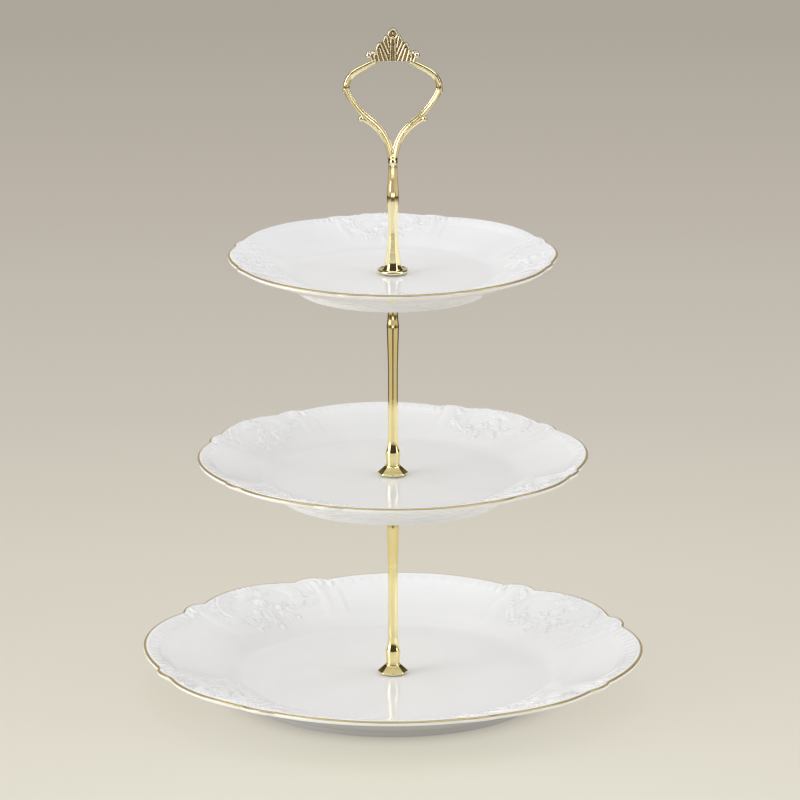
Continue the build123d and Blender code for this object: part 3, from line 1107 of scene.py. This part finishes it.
CROWN_OUTLINE = (
    # half of the palmette's ground, from its tip down to the middle of its base
    (0.0, 132.3), (1.3, 130.9), (2.1, 129.3), (3.2, 128.6), (4.0, 127.5), (4.5, 126.2),
    (6.7, 124.7), (7.7, 123.4), (8.2, 121.9), (9.2, 119.9), (11.0, 119.2), (12.2, 117.8),
    (10.8, 115.0), (7.0, 114.9), (3.5, 115.1), (0.0, 115.2),
)
GROUND_HALF = 0.3
CROWN_RIBS = (
    # radius, then (x, height) points from the base outward
    (0.58, (1.25, 115.3), (1.1, 121.0), (0.85, 126.6), (0.0, 128.2)),
    (0.50, (0.9, 127.0), (1.7, 128.0), (2.3, 129.4), (1.6, 131.2), (0.0, 132.5)),
    (0.46, (2.2, 122.6), (2.8, 126.0), (3.4, 128.6), (4.3, 127.4), (4.7, 126.2)),
    (0.50, (2.6, 115.4), (4.6, 120.2), (6.7, 124.5), (8.0, 123.2), (8.4, 121.9)),
    (0.44, (2.3, 119.0), (3.6, 122.4), (5.0, 125.6)),
    (0.50, (4.9, 115.3), (5.9, 118.6), (6.9, 121.9)),
    (0.50, (7.2, 115.2), (8.0, 118.0), (8.7, 121.0)),
    (0.55, (9.3, 115.1), (9.8, 117.2), (9.4, 119.6), (11.0, 119.2)),
    (0.60, (11.0, 114.9), (11.5, 116.6), (12.4, 118.0)),
)


def crown_side(skin, side):
    """Raised outlines and ribs of one half of the palmette, on both of its faces, and its end ball."""
    for radius, *points in CROWN_RIBS:
        line = smooth_line(points, 6 * len(points)) * np.array([side, 1.0])
        for y in (-1.0, 1.0):
            skin.tube(in_plane(line, y * 0.6), radius, 12, 1.35)
    skin.ball(in_plane((12.7 * side, 118.2))[0], 1.65)
    curl = smooth_line([(9.6, 119.5), (11.4, 120.2), (13.2, 119.6)], 10) * np.array([side, 1.0])
    skin.tube(in_plane(curl), 0.55, 10, 1.6)


def crown_ground(skin):
    """Thin plate behind the ribs."""
    outline = [*CROWN_OUTLINE, *((-x, h) for x, h in CROWN_OUTLINE[-2:0:-1])]
    rings = [skin.ring(in_plane(outline, y)) for y in (-GROUND_HALF, GROUND_HALF)]
    front = skin.ring(in_plane((0.0, 121.0), -GROUND_HALF))
    back = skin.ring(in_plane((0.0, 121.0), GROUND_HALF))
    skin.chain([front, *rings, back])


def fused_piece(skin, name, material, voxel, passes):
    """Fuses overlapping bars into one closed skin and smooths it as plating does."""
    made = skin.build(name, [material], None, "crown_handle", ["crown_handle"], "gold_plate")
    fuse = made.modifiers.new("fuse", "REMESH")
    fuse.mode = "VOXEL"
    fuse.voxel_size = voxel * MM
    fuse.use_smooth_shade = True
    ease = made.modifiers.new("ease", "SMOOTH")
    ease.factor = 0.5
    ease.iterations = passes
    apply_modifiers(made)
    made.data.polygons.foreach_set("use_smooth", [True] * len(made.data.polygons))


def make_loop():
    """Both arms with their strands, and the bud where they leave the stem."""
    skin = Skin()
    for side in (1, -1):
        loop_side(skin, side)
    skin.ball(in_plane((0.0, 60.6))[0], 2.6, (1.0, 1.4, 1.0))
    fused_piece(skin, "handle_loop", GOLD_CAST, 0.15, 6)


def make_crown():
    """Palmette that closes the loop."""
    skin = Skin()
    for side in (1, -1):
        crown_side(skin, side)
    crown_ground(skin)
    for y in (-0.62, 0.62):
        skin.ball(in_plane((0.0, 130.1), y)[0], 0.6, (0.8, 1.0, 1.3))
    fused_piece(skin, "handle_crown", GOLD_CROWN_PAINTED_LIGHT, 0.125, 3)


make_stem()
make_loop()
make_crown()


# ---------------------------------------------------------------- floor and lights
FLOOR_SIZE = 30.0
FLOOR_GLOW = 0.76  # share of the floor's brightness that it glows with: painted light that the stand's shadow doesn't dim
FLOOR_CENTRE_Y = -0.35
FLOOR_SUNK = 0.2  # millimetres that the floor lies under the stand's foot
FLOOR_STOPS = (
    # metres from the floor's bright centre, then the colour that it should show: a painted fall-off of the
    # light
    (0.20, (0.753, 0.730, 0.622)),
    (0.33, (0.730, 0.690, 0.591)),
    (0.515, (0.680, 0.638, 0.546)),
    (0.93, (0.571, 0.533, 0.462)),
    (1.435, (0.497, 0.451, 0.392)),
    (2.0, (0.423, 0.386, 0.328)),
)
STAND_SHADOW_REACH = (0.05, 0.10)  # metres from the pole over which the floor's glow comes in; nearer the pole the glow is cut, a painted shadow under the stand


def distance(tree, place):
    made = node(tree, "ShaderNodeVectorMath", Vector=place)
    made.operation = "LENGTH"
    return made.outputs["Value"]


def floor_material():
    """Matt paper sweep that glows with most of its colour, as painted light; pale under the stand and a
    little darker away from it, a painted fall-off of the light, with a painted shadow where its glow fades
    out round the pole.
    """
    material, tree, shader = new_material(
        "studio_floor", Roughness=0.9, Specular_IOR_Level=0.0, Emission_Strength=FLOOR_GLOW
    )
    place = object_place(tree)
    shift = node(tree, "ShaderNodeMapping", Vector=place, Location=(0.0, -FLOOR_CENTRE_Y, 0.0))
    away = distance(tree, shift.outputs["Vector"])
    last = FLOOR_STOPS[-1][0]
    share = node(tree, "ShaderNodeMapRange", Value=away, From_Max=last).outputs["Result"]
    colour = ramp(tree, share, *((reach / last, shown) for reach, shown in FLOOR_STOPS))
    low, high = STAND_SHADOW_REACH
    near = distance(tree, place)
    # Painted shadow: the glow fades to black near the pole.
    clear = node(tree, "ShaderNodeMapRange", Value=near, From_Min=low, From_Max=high)
    clear.interpolation_type = "SMOOTHSTEP"
    fill(
        tree,
        shader,
        Emission_Color=mix(tree, clear.outputs["Result"], BLACK, colour),
        Base_Color=mix(tree, FLOOR_GLOW, colour, BLACK),
        Normal=bump(tree, noise(tree, place, 900.0, 3.0), 0.04, 1.5 * FINE_BUMP),
    )
    return material


def make_floor():
    skin = Skin()
    half = FLOOR_SIZE / 2 / MM
    corners = ((-half, -half), (half, -half), (half, half), (-half, half))
    skin.add(skin.ring([(x, y, -FLOOR_SUNK) for x, y in corners]))
    floor = skin.build("studio_floor", [floor_material()])


# What polished metal and glaze see around the stand: three colours, painted over zones.
DIM = np.array((0.06, 0.045, 0.028))
MID = np.array((0.62, 0.55, 0.45))
LIT = np.array((1.25, 1.2, 1.1))
FRONT_SHARE = 1.4  # strengths of the lit zones in front, behind and at the sides
BACK_SHARE = 0.38
FLANK_SHARE = 1.8
TENT_R = 12.0
LOW_LIFT = (0, 3)  # degrees above the floor over which the low zones end
GAP_IN, GAP_OUT = (850, 950), (1120, 1200)  # the dark ring's two edges, in millimetres
ARMS_OUT = (1700, 2000)  # outer edge of the lit ring beyond it


def step_up(values, low, high):
    """0 below low, 1 above high, and a straight slope between them."""
    return np.clip((values - low) / (high - low), 0, 1)


def zone(values, rise, fall):
    """1 between two slopes, each given as the values where it starts and ends."""
    return step_up(values, *rise) * (1 - step_up(values, *fall))


def surroundings(spots):
    """Colours seen at points in millimetres. Angles are in degrees."""
    flat = np.hypot(spots[:, 0], spots[:, 1])
    turn = np.abs(np.degrees(np.arctan2(spots[:, 0], -spots[:, 1])))  # 0 in front, 180 behind
    lift = np.degrees(np.arctan2(spots[:, 2], flat))
    low = 1 - step_up(lift, *LOW_LIFT)
    gap = zone(flat, GAP_IN, GAP_OUT)
    arms = zone(flat, GAP_OUT, ARMS_OUT)
    far_front = (1 - step_up(turn, 60, 80)) * step_up(flat, 1900, 2600) * 0.7
    round_stand = zone(turn, (9, 19), (98, 112)) + far_front + step_up(turn, 150, 165)
    mid = low * np.clip(round_stand, 0, 1) * (1 - gap)
    mid *= 1 - arms * zone(turn, (15, 25), (66, 80))
    front_band = low * (1 - step_up(turn, 12, 24)) * arms
    back_wall = step_up(turn, 140, 160) * zone(lift, (4, 8), (26, 34))
    flank = zone(turn, (35, 50), (98, 106)) * zone(lift, (34, 42), (72, 80))
    lit = FRONT_SHARE * front_band + BACK_SHARE * back_wall + FLANK_SHARE * flank
    return DIM + (MID - DIM) * mid[:, None] + (LIT - DIM) * lit[:, None]


def reflection_only(name, spots_by_ring, closing):
    """Glowing sheet that only mirror reflections see; its glow is painted on its points."""
    material = bpy.data.materials.new(name)
    material.use_nodes = True
    tree = material.node_tree
    tree.nodes.clear()
    paint = node(tree, "ShaderNodeAttribute")
    paint.attribute_name = "glow"
    glow = node(tree, "ShaderNodeEmission", Color=paint.outputs["Color"], Strength=1.0)
    node(tree, "ShaderNodeOutputMaterial", Surface=glow.outputs["Emission"])
    skin = Skin()
    rings = [skin.ring(spots) for spots in spots_by_ring]
    if closing is not None:
        rings.append(skin.ring([closing]))
    skin.chain(rings)
    made = skin.build(name, [material])
    spots = np.array(skin.points)
    colours = np.column_stack((surroundings(spots), np.ones(len(spots))))
    paint_points(made, "glow", "FLOAT_COLOR", "color", colours)
    made.visible_camera = False
    made.visible_diffuse = False
    made.visible_shadow = False
    made.visible_transmission = False


def make_tent():
    """Tent and low surround that give the polished metal its dark and mid tones; sheets seen only in
    reflections, so painted reflections.
    """
    turn = np.arange(180) * 2.0
    circle = np.column_stack((deg_cos(turn), deg_sin(turn), np.zeros(180)))
    lifts = [0.0, 1.0, 2.0, 3.0, 4.0, 8.0, 16.0, 26.0, 34.0, 42.0, 50.0, 60.0, 72.0, 80.0]
    tent = []
    for lift in lifts:
        tent.append((circle * deg_cos(lift) + np.array([0, 0, deg_sin(lift)])) * TENT_R / MM)
    reflection_only("reflection_only_tent", tent, (0.0, 0.0, TENT_R / MM))
    reaches = (0.42, 0.85, 0.95, 1.12, 1.2, 1.3, 1.7, 2.0, 2.6, 4.0, 8.0, TENT_R)
    reflection_only("reflection_only_surround", [circle * r / MM for r in reaches], None)


SOFTBOX_AIM = 0.18  # height that the lights point at


def softbox(name, place, size, power, mirrored=True):
    """Rectangular light aimed at the stand, unseen by the camera and, if asked, by reflections."""
    data = bpy.data.lights.new(name, "AREA")
    data.shape = "RECTANGLE"
    data.size, data.size_y = size
    data.energy = power
    lamp = bpy.data.objects.new(name, data)
    bpy.context.scene.collection.objects.link(lamp)
    lamp.location = place
    aim = Vector((0.0, 0.0, SOFTBOX_AIM)) - Vector(place)
    lamp.rotation_euler = aim.to_track_quat("-Z", "Y").to_euler()
    lamp.visible_camera = False
    lamp.visible_glossy = mirrored


make_floor()
make_tent()
softbox("softbox_left", (-1.9, -0.8, 0.72), (1.2, 1.5), 24.0)
softbox("softbox_right", (1.9, -0.7, 1.05), (0.5, 1.8), 9.0)
softbox("softbox_top", (0.0, 0.1, 2.4), (0.9, 0.8), 5.0)
softbox("fill_left", (-1.8, 0.8, 0.65), (1.4, 1.0), 9.0, False)
softbox("fill_right", (1.8, 0.8, 0.65), (1.4, 1.0), 11.0, False)

world = bpy.data.worlds.new("studio")
world.use_nodes = True
sky = world.node_tree.nodes["Background"]
fill(world.node_tree, sky, Color=(0.98, 0.98, 1.0, 1.0), Strength=0.72)
bpy.context.scene.world = world
